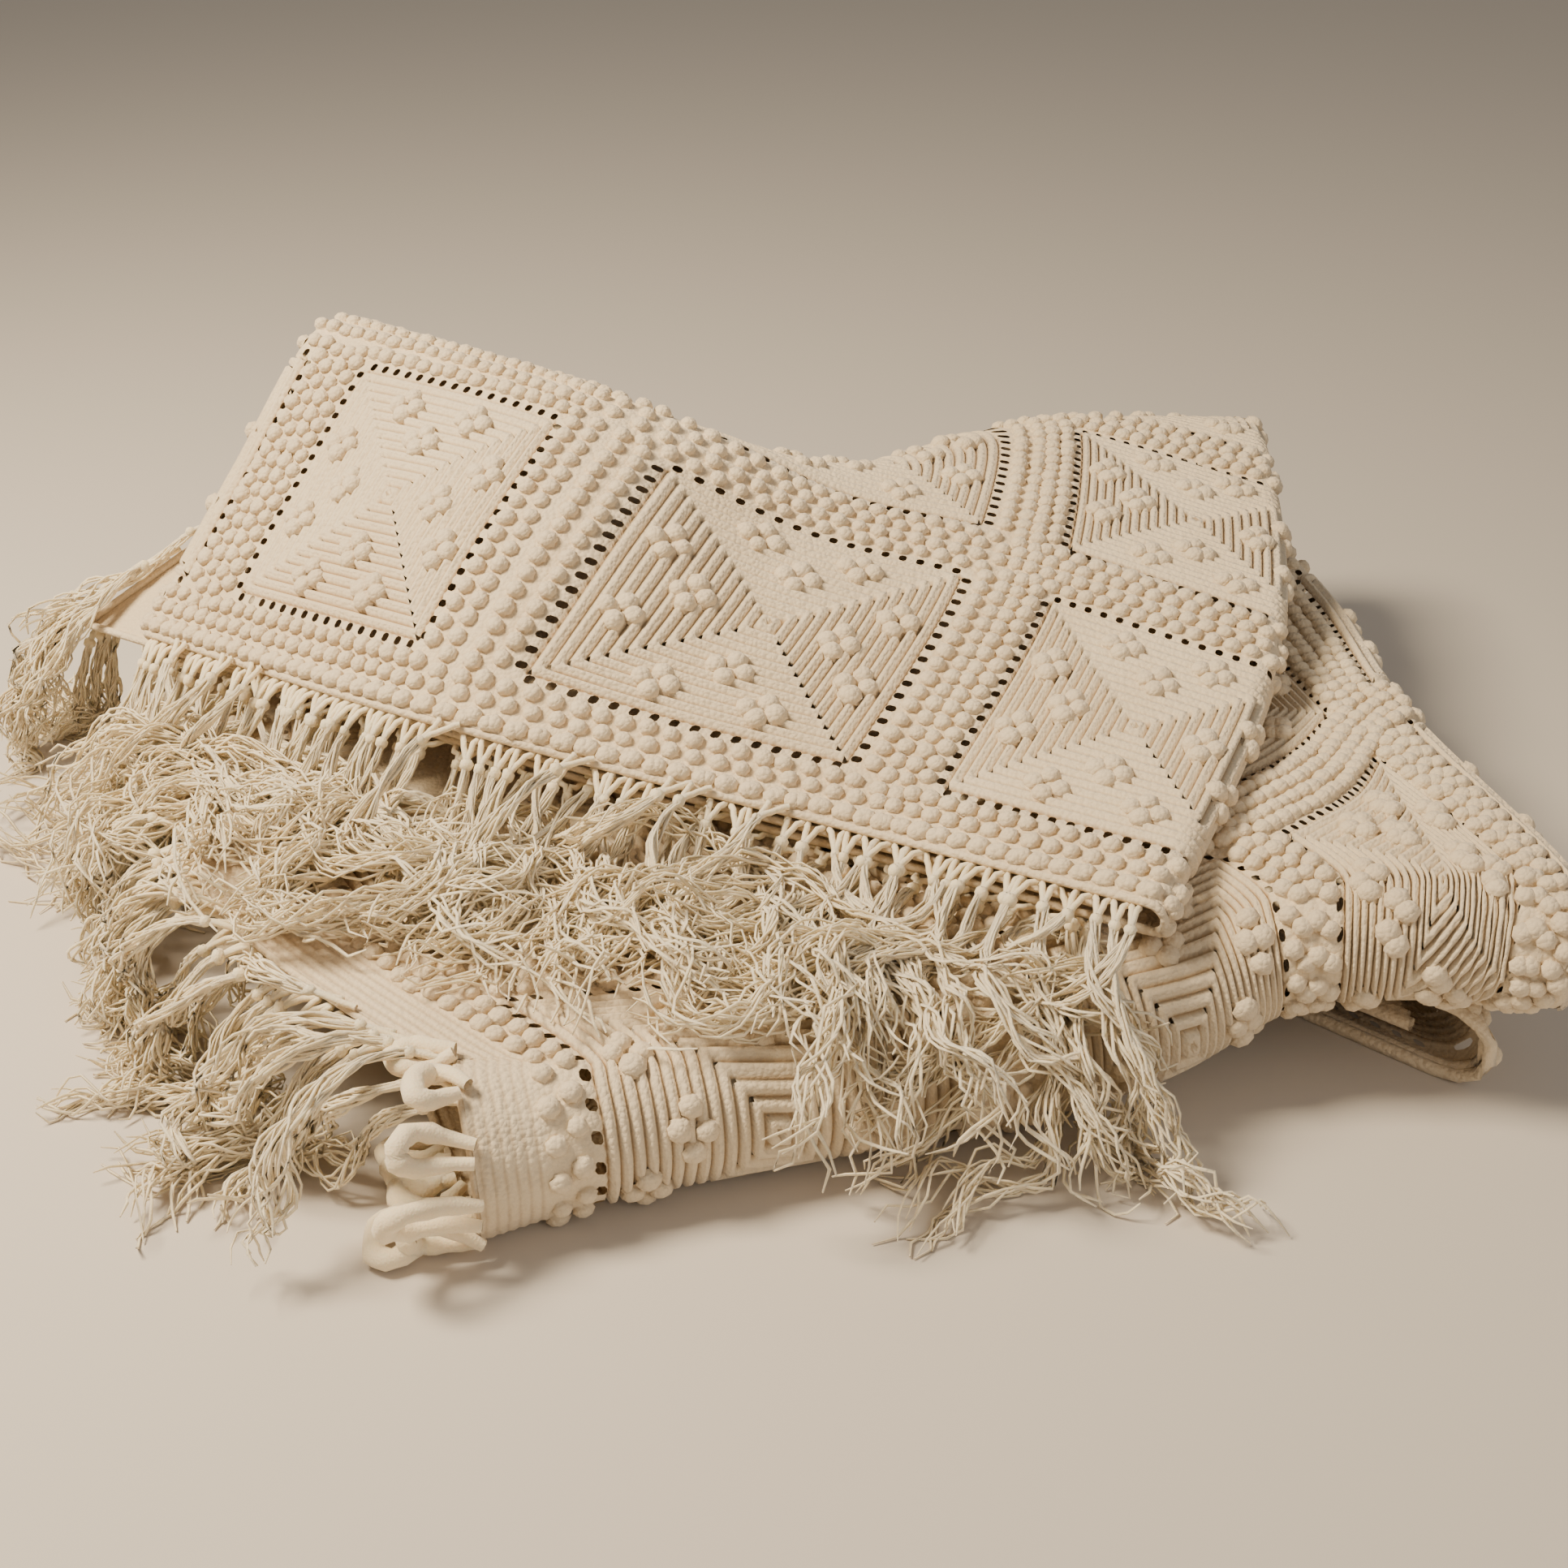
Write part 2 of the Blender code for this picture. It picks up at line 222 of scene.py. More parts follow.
def middle_surface():
    """The strip's middle surface by place across and by true length of cloth."""
    columns, marks = strip_columns(PLACES)
    middle = np.zeros((len(PLACES), len(ALONG), 3))
    apex = (marks["roll"] + marks["roll_end"]) // 2
    raws = [np.concatenate([[0.0], np.cumsum(np.linalg.norm(np.diff(col, axis=0), axis=1))])
            for col in columns]
    crests = np.array([raw[marks["crest_end"]] for raw in raws])
    slopes = np.array([raw[marks["slope"]] for raw in raws])
    unders = np.array([raw[marks["under"]] for raw in raws])
    starts = ROLL_ROW - np.array([raw[apex] for raw in raws]) + slopes
    starts = np.maximum(starts, crests + HIDDEN_SHARE * (slopes - crests))
    window = 2 * SMOOTHED + 1
    padded = np.concatenate([np.full(SMOOTHED, starts[0]), starts,
                             np.full(SMOOTHED, starts[-1])])
    starts = np.convolve(padded, np.ones(window) / window, mode="valid")
    starts = np.maximum(starts, crests + HIDDEN_LEAST * (slopes - crests))
    for i, col in enumerate(columns):
        raw = raws[i]
        end = raw[-1]
        crest, slope, under, start = crests[i], slopes[i], unders[i], starts[i]
        anchors = [
            (0.0, 0.0),
            (crest, crest),
            (slope, start),
            (under, start + under - slope),
            (raw[marks["back"]], LENGTH - end + raw[marks["back"]]),
            (end, LENGTH),
        ]
        length = np.interp(raw, [a for a, _ in anchors], [b for _, b in anchors])
        for k in range(3):
            middle[i, :, k] = np.interp(ALONG, length, col[:, k])
    return middle


def unit(v):
    return v / np.maximum(np.linalg.norm(v, axis=-1, keepdims=True), 1e-9)


MIDDLE = middle_surface()
UPWARD = unit(np.cross(np.gradient(MIDDLE, axis=0), np.gradient(MIDDLE, axis=1)))


def smooth(t):
    t = np.clip(t, 0.0, 1.0)
    return t * t * (3 - 2 * t)


# flat widths from the fringed edge: under ply, right fold, top ply, left fold, tucked ply
LEN_C = REACH + STRIP - PLY
LEN_R = math.pi * PLY
LEN_A = STRIP - 1.5 * PLY
LEN_L = math.pi * PLY / 2
LEN_B = TUCK - PLY / 2
WIDTH = LEN_C + LEN_R + LEN_A + LEN_L + LEN_B
START_A = LEN_C + LEN_R
START_L = START_A + LEN_A
START_B = START_L + LEN_L


def reach_at(s):
    """How far the under ply sticks out at the left, by length of cloth."""
    return np.interp(s, (0.0, 0.085, 0.32, 0.46), (REACH, NARROW, NARROW, REACH))


def place_of(u, s, spacing):
    """Place across and height in the strip of cloth width u, for a ply spacing."""
    right = STRIP - spacing
    left = spacing / 2
    x = np.zeros_like(u)
    lift = np.zeros_like(u)
    m = u < LEN_C
    x[m] = (u[m] - REACH) / (LEN_C - REACH) * right[m]
    out = m & (u < REACH)
    x[out] = (u[out] / REACH - 1.0) * reach_at(s[out])
    lift[m] = -spacing[m]
    m = (u >= LEN_C) & (u < START_A)
    a = -math.pi / 2 + (u[m] - LEN_C) / PLY
    x[m] = right[m] + spacing[m] * np.cos(a)
    lift[m] = spacing[m] * np.sin(a)
    m = (u >= START_A) & (u < START_L)
    x[m] = right[m] - (u[m] - START_A) / LEN_A * (right[m] - left[m])
    lift[m] = spacing[m]
    m = (u >= START_L) & (u < START_B)
    a = math.pi / 2 + (u[m] - START_L) / (PLY / 2)
    x[m] = left[m] + left[m] * np.cos(a)
    lift[m] = left[m] + left[m] * np.sin(a)
    m = u >= START_B
    x[m] = left[m] + (u[m] - START_B) / LEN_B * (TUCK - left[m])
    return x, lift


def sample(grid, rows, cols):
    """Bilinear reading of a grid at fractional rows and columns."""
    i = np.clip(np.floor(rows), 0, grid.shape[0] - 2).astype(int)
    j = np.clip(np.floor(cols), 0, grid.shape[1] - 2).astype(int)
    f = (rows - i)[..., None]
    g = (cols - j)[..., None]
    return ((grid[i, j] * (1 - f) + grid[i + 1, j] * f) * (1 - g)
            + (grid[i, j + 1] * (1 - f) + grid[i + 1, j + 1] * f) * g)


WIDE = np.arange(0.0, WIDTH + STEP_U, STEP_U)
OPEN_LENGTH = 0.36       # the tube opens over this length up to the hem
OPEN_FROM = 0.36         # and from this place across
OPEN_OVER = 0.22


def cloth_surface():
    """Middle of the cloth on a fine grid of its flat width and length."""
    u, s = np.meshgrid(WIDE, ALONG, indexing="ij")
    near, _ = place_of(u, s, np.full_like(u, PLY))
    end = smooth((s - (LENGTH - OPEN_LENGTH)) / OPEN_LENGTH)
    spacing = PLY + PUFF * end * smooth((near - OPEN_FROM) / OPEN_OVER)
    x, lift = place_of(u, s, spacing)
    rows = x / STRIP * (len(PLACES) - 1)
    cols = s / STEP_S
    at = sample(MIDDLE, rows, cols)
    up = unit(sample(UPWARD, rows, cols))
    at[..., 2] += spacing - PLY
    return at + lift[..., None] * up


SURFACE = cloth_surface()
OUTWARD = unit(np.cross(np.gradient(SURFACE, axis=1), np.gradient(SURFACE, axis=0)))


def cloth_at(u, s, height=0.0):
    """Point of the cloth, raised off its middle, and the outward normal there."""
    u = np.asarray(u, float)
    s = np.asarray(s, float)
    rows = u / STEP_U
    cols = s / STEP_S
    n = unit(sample(OUTWARD, rows, cols))
    p = sample(SURFACE, rows, cols)
    return p + n * np.asarray(height)[..., None], n


# ---- stitch pattern of a block ------------------------------------------------------
BORDER = 0.0275          # two popcorn rows and the eyelet row, each side of a seam
HOLE_FROM = 0.0213       # where the eyelet row starts, from the seam
HOLE_TO = 0.0263
RIBS = 13                # ridges from the eyelets to a block's middle
RIB = (BLOCK / 2 - BORDER) / RIBS
VALLEY = -0.0026         # heights over the cloth's face
RIDGE = 0.0014
PLAIN = -0.0004
SEAM_RISE = 0.0004
EDGING_ROW = 0.005       # width of one row of the plain side edging
PIN_FROM = 1.2 * RIB     # no pin holes nearer than this to a block's middle
SAME = 1e-5              # two flat places closer than this are the same
HALF_LINES = [0.0, 0.0035, 0.0070, 0.0105, 0.0140, 0.0175, HOLE_FROM, HOLE_TO, BORDER]
HALF_LINES += [BORDER + RIB * k / 3 for k in range(1, RIBS * 3)]
LIGHT_LINES = [0.0, 0.007, 0.014, HOLE_FROM, HOLE_TO, BORDER]
LIGHT_LINES += [BORDER + RIB * k / 2 for k in range(1, RIBS * 2)]


def fine_lines(start, end, offset, light=False):
    """Grid lines between two flat sizes that follow the ribs of every block."""
    lines = set()
    for k in range(-1, 11):
        base = offset + k * BLOCK
        for h in LIGHT_LINES if light else HALF_LINES:
            lines.add(round(base + h, 6))
            lines.add(round(base + BLOCK - h, 6))
        lines.add(round(base + BLOCK / 2, 6))
    return np.array(sorted(x for x in lines if start - 1e-6 <= x <= end + 1e-6))


def block_local(u, s):
    """Place inside a block, across and along, from its first two seams."""
    p = np.mod(u - SIDE_EDGING, BLOCK)
    q = np.mod(s - FOOT_EDGING, BLOCK)
    return p, q


def relief(u, s):
    """Height of the stitches above the cloth's own face."""
    p, q = block_local(u, s)
    c = BLOCK / 2
    ring = np.maximum(np.abs(p - c), np.abs(q - c))
    inside = ring < c - BORDER + 1e-6
    phase = np.mod((c - BORDER - ring) / RIB, 1.0)
    ridge = np.where((phase < 0.02) | (phase > 0.98), VALLEY, RIDGE)
    seam = np.minimum(np.minimum(p, BLOCK - p), np.minimum(q, BLOCK - q))
    border = np.where(seam < 0.0012, SEAM_RISE, PLAIN)
    h = np.where(inside, ridge, border)
    edging = u < SIDE_EDGING - 0.0005
    rows = 0.0003 * np.cos(u / EDGING_ROW * 2 * np.pi)
    h = np.where(edging, rows, h)
    return np.where(s < FOOT_EDGING, PLAIN, h)


def holes(u_mid, s_mid, light):
    """Which grid cells are eyelets, or pin holes on the mitres of a block."""
    p, q = block_local(u_mid, s_mid)
    a = np.minimum(p, BLOCK - p)
    b = np.minimum(q, BLOCK - q)
    row = (a > HOLE_FROM) & (a < HOLE_TO)
    col = (b > HOLE_FROM) & (b < HOLE_TO)
    pitch = 2 * RIB if light else 5 * RIB / 3
    beat_s = np.mod(q - BORDER, pitch) < RIB - SAME
    beat_u = np.mod(p - BORDER, pitch) < RIB - SAME
    eyelet = (row & (b > BORDER - 0.003) & beat_s) | (col & (a > BORDER - 0.003) & beat_u)
    c = BLOCK / 2
    along = np.abs(np.abs(p - c) - np.abs(q - c)) < RIB / 6
    ring = np.maximum(np.abs(p - c), np.abs(q - c))
    phase = np.mod((c - BORDER - ring) / RIB, 1.0)
    pin = along & (ring < c - BORDER) & (ring > PIN_FROM) & (phase < 0.34)
    return (eyelet | pin) & (u_mid > SIDE_EDGING) & (s_mid > FOOT_EDGING)


def rounded(u, s):
    """Pull in the corners of the eyelets, so they look round and not square."""
    p, q = block_local(u, s)
    out = [u.copy(), s.copy()]
    for near, other, a, b in ((p, q, 0, 1), (q, p, 1, 0)):
        edge = np.minimum(near, BLOCK - near)
        first = np.abs(edge - HOLE_FROM) < SAME
        last = np.abs(edge - HOLE_TO) < SAME
        beat = np.mod(other - BORDER + 1e-6, 5 * RIB / 3)
        inner = np.minimum(other, BLOCK - other) > BORDER - 0.003
        opens = (beat < SAME) & inner
        ends = (np.abs(beat - RIB) < SAME) & inner
        side = np.where(near < BLOCK / 2, 1.0, -1.0)
        pull = np.where(first, 1.0, 0.0) - np.where(last, 1.0, 0.0)
        corner = (first | last) & (opens | ends)
        out[a] += np.where(corner, 0.0011 * pull * side, 0.0)
        out[b] += np.where(corner, np.where(opens, 0.0008, -0.0008), 0.0)
    c = BLOCK / 2
    ring = np.maximum(np.abs(p - c), np.abs(q - c))
    on = (np.abs(np.abs(p - c) - np.abs(q - c)) < SAME) & (ring < c - BORDER - SAME)
    on &= ring > PIN_FROM
    phase = np.mod((c - BORDER - ring) / RIB + 0.01, 1.0)
    pull = np.where(phase < 0.25, -0.0003, np.where(phase < 0.5, 0.0003, 0.0)) * on
    out[0] += pull * np.sign(p - c)
    out[1] += pull * np.sign(q - c)
    return out


POPCORN_ROWS = (0.0055, 0.0160)      # distance of the two border rows from a seam
PER_SIDE = 19                        # popcorns along one side of a block
CLUSTERS = ((0.0370, 0.0), (0.0575, 0.0256), (0.0575, -0.0256))
CLUSTER = ((0.0070, 0.0), (-0.0070, 0.0), (0.0, 0.0060), (0.0, -0.0060))
CLUSTER_SIZE = 1.14


def popcorn_spots(u0, u1, s0, s1):
    """Flat places and sizes of the popcorns in a part of the cloth."""
    spots = []
    pitch = BLOCK / PER_SIDE
    for bi in range(-1, 10):
        for bj in range(-1, 10):
            ou = SIDE_EDGING + bi * BLOCK
            os_ = FOOT_EDGING + bj * BLOCK
            if ou > u1 or ou + BLOCK < u0 or os_ > s1 or os_ + BLOCK < s0:
                continue
            for r, depth in enumerate(POPCORN_ROWS):
                lo = depth
                hi = BLOCK - depth
                for k in range(PER_SIDE):
                    t = (k + 0.5 + 0.5 * (r % 2) - 0.25) * pitch
                    if lo - 0.004 <= t <= hi + 0.004:
                        spots.append((ou + t, os_ + depth, 1.0))
                        spots.append((ou + t, os_ + BLOCK - depth, 1.0))
                    if lo + 0.006 < t < hi - 0.006:
                        spots.append((ou + depth, os_ + t, 1.0))
                        spots.append((ou + BLOCK - depth, os_ + t, 1.0))
            cu = ou + BLOCK / 2
            cs = os_ + BLOCK / 2
            for turn in range(4):
                ax = (math.cos(turn * math.pi / 2), math.sin(turn * math.pi / 2))
                for ring, off in CLUSTERS:
                    for du, dr in CLUSTER:
                        r = ring + dr
                        o = off + du
                        spots.append((cu + ax[0] * r - ax[1] * o,
                                      cs + ax[1] * r + ax[0] * o, CLUSTER_SIZE))
    if s0 <= 0.0:
        for k in range(int((u1 - u0) / pitch)):
            spots.append((u0 + (k + 0.5) * pitch, POPCORN_ROWS[0], 1.0))
    out = [p for p in spots if u0 <= p[0] <= u1 and s0 <= p[1] <= s1
           and SIDE_EDGING < p[0] < WIDTH and 0.0 < p[1] < LENGTH]
    return np.array(out)


# ---- mesh building ------------------------------------------------------------------
LOWEST = 0.0003          # nothing goes below this height over the floor


def new_object(name, verts, faces, mat, uv=None):
    """A smooth mesh object whose faces all have the same number of corners."""
    mesh = bpy.data.meshes.new(name)
    verts = np.array(verts, float)
    verts[:, 2] = np.maximum(verts[:, 2], LOWEST)
    mesh.vertices.add(len(verts))
    mesh.vertices.foreach_set("co", np.asarray(verts, np.float32).ravel())
    faces = np.asarray(faces, np.int32)
    n = faces.shape[1]
    mesh.loops.add(faces.size)
    mesh.loops.foreach_set("vertex_index", faces.ravel())
    mesh.polygons.add(len(faces))
    mesh.polygons.foreach_set("loop_start", np.arange(0, faces.size, n, dtype=np.int32))
    mesh.polygons.foreach_set("loop_total", np.full(len(faces), n, np.int32))
    mesh.update(calc_edges=True)
    mesh.validate()
    mesh.polygons.foreach_set("use_smooth", np.ones(len(mesh.polygons), bool))
    if uv is not None:
        layer = mesh.uv_layers.new(name="stitch")
        idx = np.zeros(len(mesh.loops), np.int32)
        mesh.loops.foreach_get("vertex_index", idx)
        layer.data.foreach_set("uv", np.asarray(uv, np.float32)[idx].ravel())
    mesh.materials.append(mat)
    obj = bpy.data.objects.new(name, mesh)
    bpy.context.scene.collection.objects.link(obj)
    return obj


def grid_quads(rows, cols):
    """Corner indices of the cells of a grid of points."""
    index = np.arange(rows * cols).reshape(rows, cols)
    return np.stack([index[:-1, :-1], index[:-1, 1:], index[1:, 1:], index[1:, :-1]], -1)


def cloth_patch(u_lines, s_lines, fine=True, light=False):
    """One grid of the cloth's outer face. Returns points, faces and flat places."""
    u, s = np.meshgrid(u_lines, s_lines, indexing="ij")
    h = relief(u, s) if fine else np.full_like(u, PLAIN)
    flat_u, flat_s = rounded(u, s) if fine and not light else (u, s)
    points, _ = cloth_at(flat_u, flat_s, CLOTH / 2 + h)
    quads = grid_quads(*u.shape)
    um = (u[:-1, :-1] + u[1:, 1:]) / 2
    sm = (s[:-1, :-1] + s[1:, 1:]) / 2
    mask = np.ones(um.shape, bool)
    if fine:
        mask &= ~holes(um, sm, light)
    flat = np.stack([u, s], -1).reshape(-1, 2)
    return points.reshape(-1, 3), quads[mask], flat


def joined(patches):
    """Patches in one mesh, without the points that no face uses."""
    verts = []
    faces = []
    flats = []
    base = 0
    for p, f, uv in patches:
        used = np.zeros(len(p), bool)
        used[f.ravel()] = True
        order = np.cumsum(used) - 1
        verts.append(p[used])
        flats.append(uv[used])
        faces.append(order[f] + base)
        base += int(used.sum())
    return np.concatenate(verts), np.concatenate(faces), np.concatenate(flats)


def dome(rings, segs):
    """Unit popcorn: a dome that pulls in at its foot."""
    verts = [(0.0, 0.0, 1.0)]
    for r in range(1, rings + 1):
        a = math.pi * 0.62 * r / rings
        for k in range(segs):
            b = 2 * math.pi * (k + 0.5 * (r % 2)) / segs
            verts.append((math.sin(a) * math.cos(b), math.sin(a) * math.sin(b), math.cos(a)))
    faces = []
    for k in range(segs):
        faces.append((0, 1 + k, 1 + (k + 1) % segs))
    for r in range(1, rings):
        a = 1 + (r - 1) * segs
        b = 1 + r * segs
        for k in range(segs):
            m = (k + 1) % segs
            faces.append((a + k, b + k, b + m))
            faces.append((a + k, b + m, a + m))
    return np.array(verts), np.array(faces)


POPCORN_RADIUS = 0.0053
POPCORN_HEIGHT = 0.0044


def popcorn_mesh(name, spots, mat, rings=3, segs=7):
    """All popcorns of a part of the cloth as one mesh of small domes."""
    shape, tri = dome(rings, segs)
    count = len(spots)
    u = spots[:, 0] + RNG.normal(0, 0.00035, count)
    s = spots[:, 1] + RNG.normal(0, 0.00035, count)
    at, n = cloth_at(u, s, np.full(count, CLOTH / 2 + 0.0002))
    du, _ = cloth_at(u + 0.002, s)
    base, _ = cloth_at(u, s)
    seen = at[:, 2] + n[:, 2] * 0.005 > 0.001
    u, s, spots, at, n, du, base = (a[seen] for a in (u, s, spots, at, n, du, base))
    count = len(spots)
    t1 = unit(du - base)
    t1 = unit(t1 - n * np.sum(t1 * n, axis=1, keepdims=True))
    t2 = np.cross(n, t1)
    spin = RNG.uniform(0, 2 * np.pi, count)
    c, d = np.cos(spin)[:, None], np.sin(spin)[:, None]
    a1 = t1 * c + t2 * d
    a2 = -t1 * d + t2 * c
    size = spots[:, 2] * RNG.normal(1.0, 0.05, count)
    wide = (POPCORN_RADIUS * size)[:, None, None]
    tall = (POPCORN_HEIGHT * size * RNG.normal(1.0, 0.06, count))[:, None, None]
    wob = 1.0 + RNG.normal(0, 0.05, (count, len(shape)))[..., None]
    pts = (at[:, None, :]
           + wide * wob * shape[None, :, 0:1] * a1[:, None, :]
           + wide * wob * shape[None, :, 1:2] * a2[:, None, :]
           + tall * shape[None, :, 2:3] * n[:, None, :])
    faces = (np.arange(count) * len(shape))[:, None, None] + tri[None]
    uv = np.stack([u, s], 1)[:, None, :] + shape[None, :, :2] * 0.005
    return new_object(name, pts.reshape(-1, 3), faces.reshape(-1, 3), mat, uv.reshape(-1, 2))


# ---- materials ----------------------------------------------------------------------
def cotton(name, light, dark, groove_shade_colour, glow, stitch, fibre, depth):
    mat = bpy.data.materials.new(name)
    mat.use_nodes = True
    nodes = mat.node_tree.nodes
    links = mat.node_tree.links
    shader = nodes["Principled BSDF"]
    shader.inputs["Roughness"].default_value = 0.88
    shader.inputs["Sheen Weight"].default_value = 0.25
    shader.inputs["Sheen Roughness"].default_value = 0.6
    coord = nodes.new("ShaderNodeTexCoord")
    wide = nodes.new("ShaderNodeTexNoise")
    wide.inputs["Scale"].default_value = 14.0
    wide.inputs["Detail"].default_value = 5.0
    links.new(coord.outputs["Object"], wide.inputs["Vector"])
    cell = nodes.new("ShaderNodeTexVoronoi")
    cell.inputs["Scale"].default_value = stitch
    links.new(coord.outputs["Object"], cell.inputs["Vector"])
    hair = nodes.new("ShaderNodeTexNoise")
    hair.inputs["Scale"].default_value = fibre
    hair.inputs["Detail"].default_value = 4.0
    links.new(coord.outputs["Object"], hair.inputs["Vector"])
    ramp = nodes.new("ShaderNodeValToRGB")
    ramp.color_ramp.elements[0].position = 0.30
    ramp.color_ramp.elements[0].color = (*dark, 1.0)
    ramp.color_ramp.elements[1].position = 0.70
    ramp.color_ramp.elements[1].color = (*light, 1.0)
    mix = nodes.new("ShaderNodeMath")
    mix.operation = "MULTIPLY_ADD"
    mix.inputs[1].default_value = 0.45
    links.new(hair.outputs["Fac"], mix.inputs[0])
    half = nodes.new("ShaderNodeMath")
    half.operation = "MULTIPLY"
    half.inputs[1].default_value = 0.55
    links.new(wide.outputs["Fac"], half.inputs[0])
    links.new(half.outputs[0], mix.inputs[2])
    links.new(mix.outputs[0], ramp.inputs["Fac"])
    # painted shade: the colour is darkened where the mesh is concave (pointiness), in the
    # grooves between the ribs where shade falls
    geo = nodes.new("ShaderNodeNewGeometry")
    groove_shade_ramp = nodes.new("ShaderNodeValToRGB")
    groove_shade_ramp.color_ramp.elements[0].position = 0.450
    groove_shade_ramp.color_ramp.elements[0].color = (*groove_shade_colour, 1.0)
    groove_shade_ramp.color_ramp.elements[1].position = 0.506
    groove_shade_ramp.color_ramp.elements[1].color = (1.0, 1.0, 1.0, 1.0)
    links.new(geo.outputs["Pointiness"], groove_shade_ramp.inputs["Fac"])
    tint = nodes.new("ShaderNodeMix")
    tint.data_type = "RGBA"
    tint.blend_type = "MULTIPLY"
    tint.inputs["Factor"].default_value = 1.0
    links.new(ramp.outputs["Color"], tint.inputs["A"])
    links.new(groove_shade_ramp.outputs["Color"], tint.inputs["B"])
    links.new(tint.outputs["Result"], shader.inputs["Base Color"])
    shader.inputs["Subsurface Weight"].default_value = glow
    shader.inputs["Subsurface Radius"].default_value = (1.0, 0.75, 0.5)
    shader.inputs["Subsurface Scale"].default_value = 0.003
    near = nodes.new("ShaderNodeBump")
    near.inputs["Strength"].default_value = 0.55
    near.inputs["Distance"].default_value = depth
    links.new(cell.outputs["Distance"], near.inputs["Height"])
    near.invert = True
    fuzz = nodes.new("ShaderNodeBump")
    fuzz.inputs["Strength"].default_value = 0.35
    fuzz.inputs["Distance"].default_value = depth * 0.5
    links.new(hair.outputs["Fac"], fuzz.inputs["Height"])
    links.new(near.outputs["Normal"], fuzz.inputs["Normal"])
    links.new(fuzz.outputs["Normal"], shader.inputs["Normal"])
    return mat


# the third colour of each yarn is the painted shade multiplied into its grooves; white for the
# strands paints none
YARN = cotton("ivory_cotton_yarn", (0.81, 0.675, 0.475), (0.70, 0.555, 0.37), (0.48, 0.36, 0.23),
              0.0, 420.0, 1500.0, 0.0014)
STRAND = cotton("cream_fringe_strands", (0.94, 0.81, 0.585), (0.87, 0.71, 0.47), (1.0, 1.0, 1.0),
                0.30, 900.0, 2500.0, 0.0004)

# ---- the cloth ----------------------------------------------------------------------
CREST_S = 0.56           # the flap's piece ends here, past the crest
UNDER_S = 0.36           # and its under ply here
HIDDEN_S = 0.66          # the second layer is hidden under the flap up to here
MOUTH_U = (0.50, 0.90)   # the part of the hem that shows at the open tube
STEP_A = 0.010           # grid steps of the parts that don't show
STEP_B = 0.011


def coarse(start, end, step):
    """Even grid lines for parts of the cloth that don't show."""
    count = max(int(round((end - start) / step)), 1)
    return np.linspace(start, end, count + 1)


flap_u = fine_lines(LEN_C - 0.012, START_B + 0.02, SIDE_EDGING)
flap_s = fine_lines(0.0, CREST_S, FOOT_EDGING)
mouth_u = fine_lines(*MOUTH_U, SIDE_EDGING)
mouth_s = fine_lines(LENGTH - 0.215, LENGTH, FOOT_EDGING)
pack_u = np.concatenate([np.arange(0, SIDE_EDGING, EDGING_ROW / 4),
                         fine_lines(SIDE_EDGING, START_A + 0.01, SIDE_EDGING)])
pack_s = fine_lines(0.50, 1.06, FOOT_EDGING)
back_u = fine_lines(LEN_C - 0.010, START_B + 0.010, SIDE_EDGING, light=True)
back_s = fine_lines(1.27, mouth_s[0] + 1e-6, FOOT_EDGING, light=True)
end_u = fine_lines(0.560, 0.830, SIDE_EDGING, light=True)

flap = joined([
    cloth_patch(flap_u, flap_s),
    cloth_patch(coarse(0.0, flap_u[0], 0.008), coarse(0.0, UNDER_S, 0.008), fine=False),
    cloth_patch(coarse(flap_u[-1], WIDTH, STEP_A), coarse(0.0, CREST_S, STEP_A), fine=False),
])
low_s = pack_s[pack_s < HIDDEN_S]
high_s = pack_s[pack_s >= low_s[-1] - 1e-9]
left_u = pack_u[pack_u < 0.10]
right_u = pack_u[pack_u > 0.45]
pack = joined([
    cloth_patch(pack_u, high_s),
    cloth_patch(left_u, low_s),
    cloth_patch(right_u, low_s),
    cloth_patch(coarse(left_u[-1], right_u[0], STEP_A),
                coarse(low_s[0], low_s[-1], STEP_B), fine=False),
])


def hidden_patch(u_from, u_to, s_from, s_to):
    """A coarse patch without stitches."""
    return cloth_patch(coarse(u_from, u_to, STEP_A), coarse(s_from, s_to, STEP_B), fine=False)


end_s = fine_lines(pack_s[-1], back_s[0], FOOT_EDGING, light=True)
base = joined([
    hidden_patch(0.0, flap_u[0], UNDER_S, pack_s[0]),
    hidden_patch(pack_u[-1], WIDTH, flap_s[-1], pack_s[-1]),
    hidden_patch(0.0, end_u[0], pack_s[-1], back_s[0]),
    cloth_patch(end_u, end_s, light=True),
    hidden_patch(end_u[-1], WIDTH, pack_s[-1], back_s[0]),
    hidden_patch(0.0, back_u[0], back_s[0], mouth_s[0]),
    cloth_patch(back_u, back_s, light=True),
    hidden_patch(back_u[-1], WIDTH, back_s[0], mouth_s[0]),
    hidden_patch(0.0, mouth_u[0], mouth_s[0], LENGTH),
    hidden_patch(mouth_u[-1], WIDTH, mouth_s[0], LENGTH),
    cloth_patch(mouth_u, mouth_s),
])
spread_flap = new_object("spread_flap", flap[0], flap[1], YARN, flap[2])
spread_pack = new_object("spread_pack", pack[0], pack[1], YARN, pack[2])
spread_base = new_object("spread_base", base[0], base[1], YARN, base[2])
pop_flap = popcorn_mesh("popcorns_flap",
                        popcorn_spots(flap_u[0], flap_u[-1], 0.0, CREST_S), YARN)
pop_base = popcorn_mesh("popcorns_base",
                        popcorn_spots(*MOUTH_U, mouth_s[0], LENGTH - 0.004), YARN)
pop_pack = popcorn_mesh("popcorns_pack", np.concatenate([
    popcorn_spots(0.0, pack_u[-1], HIDDEN_S, 1.05),
    popcorn_spots(right_u[0], pack_u[-1], 0.51, HIDDEN_S - 0.0001)]), YARN)
pop_back = popcorn_mesh("popcorns_back", np.concatenate([
    popcorn_spots(back_u[0], back_u[-1], back_s[0], mouth_s[0]),
    popcorn_spots(end_u[0], end_u[-1], pack_s[-1], back_s[0])]), YARN, rings=2, segs=6)


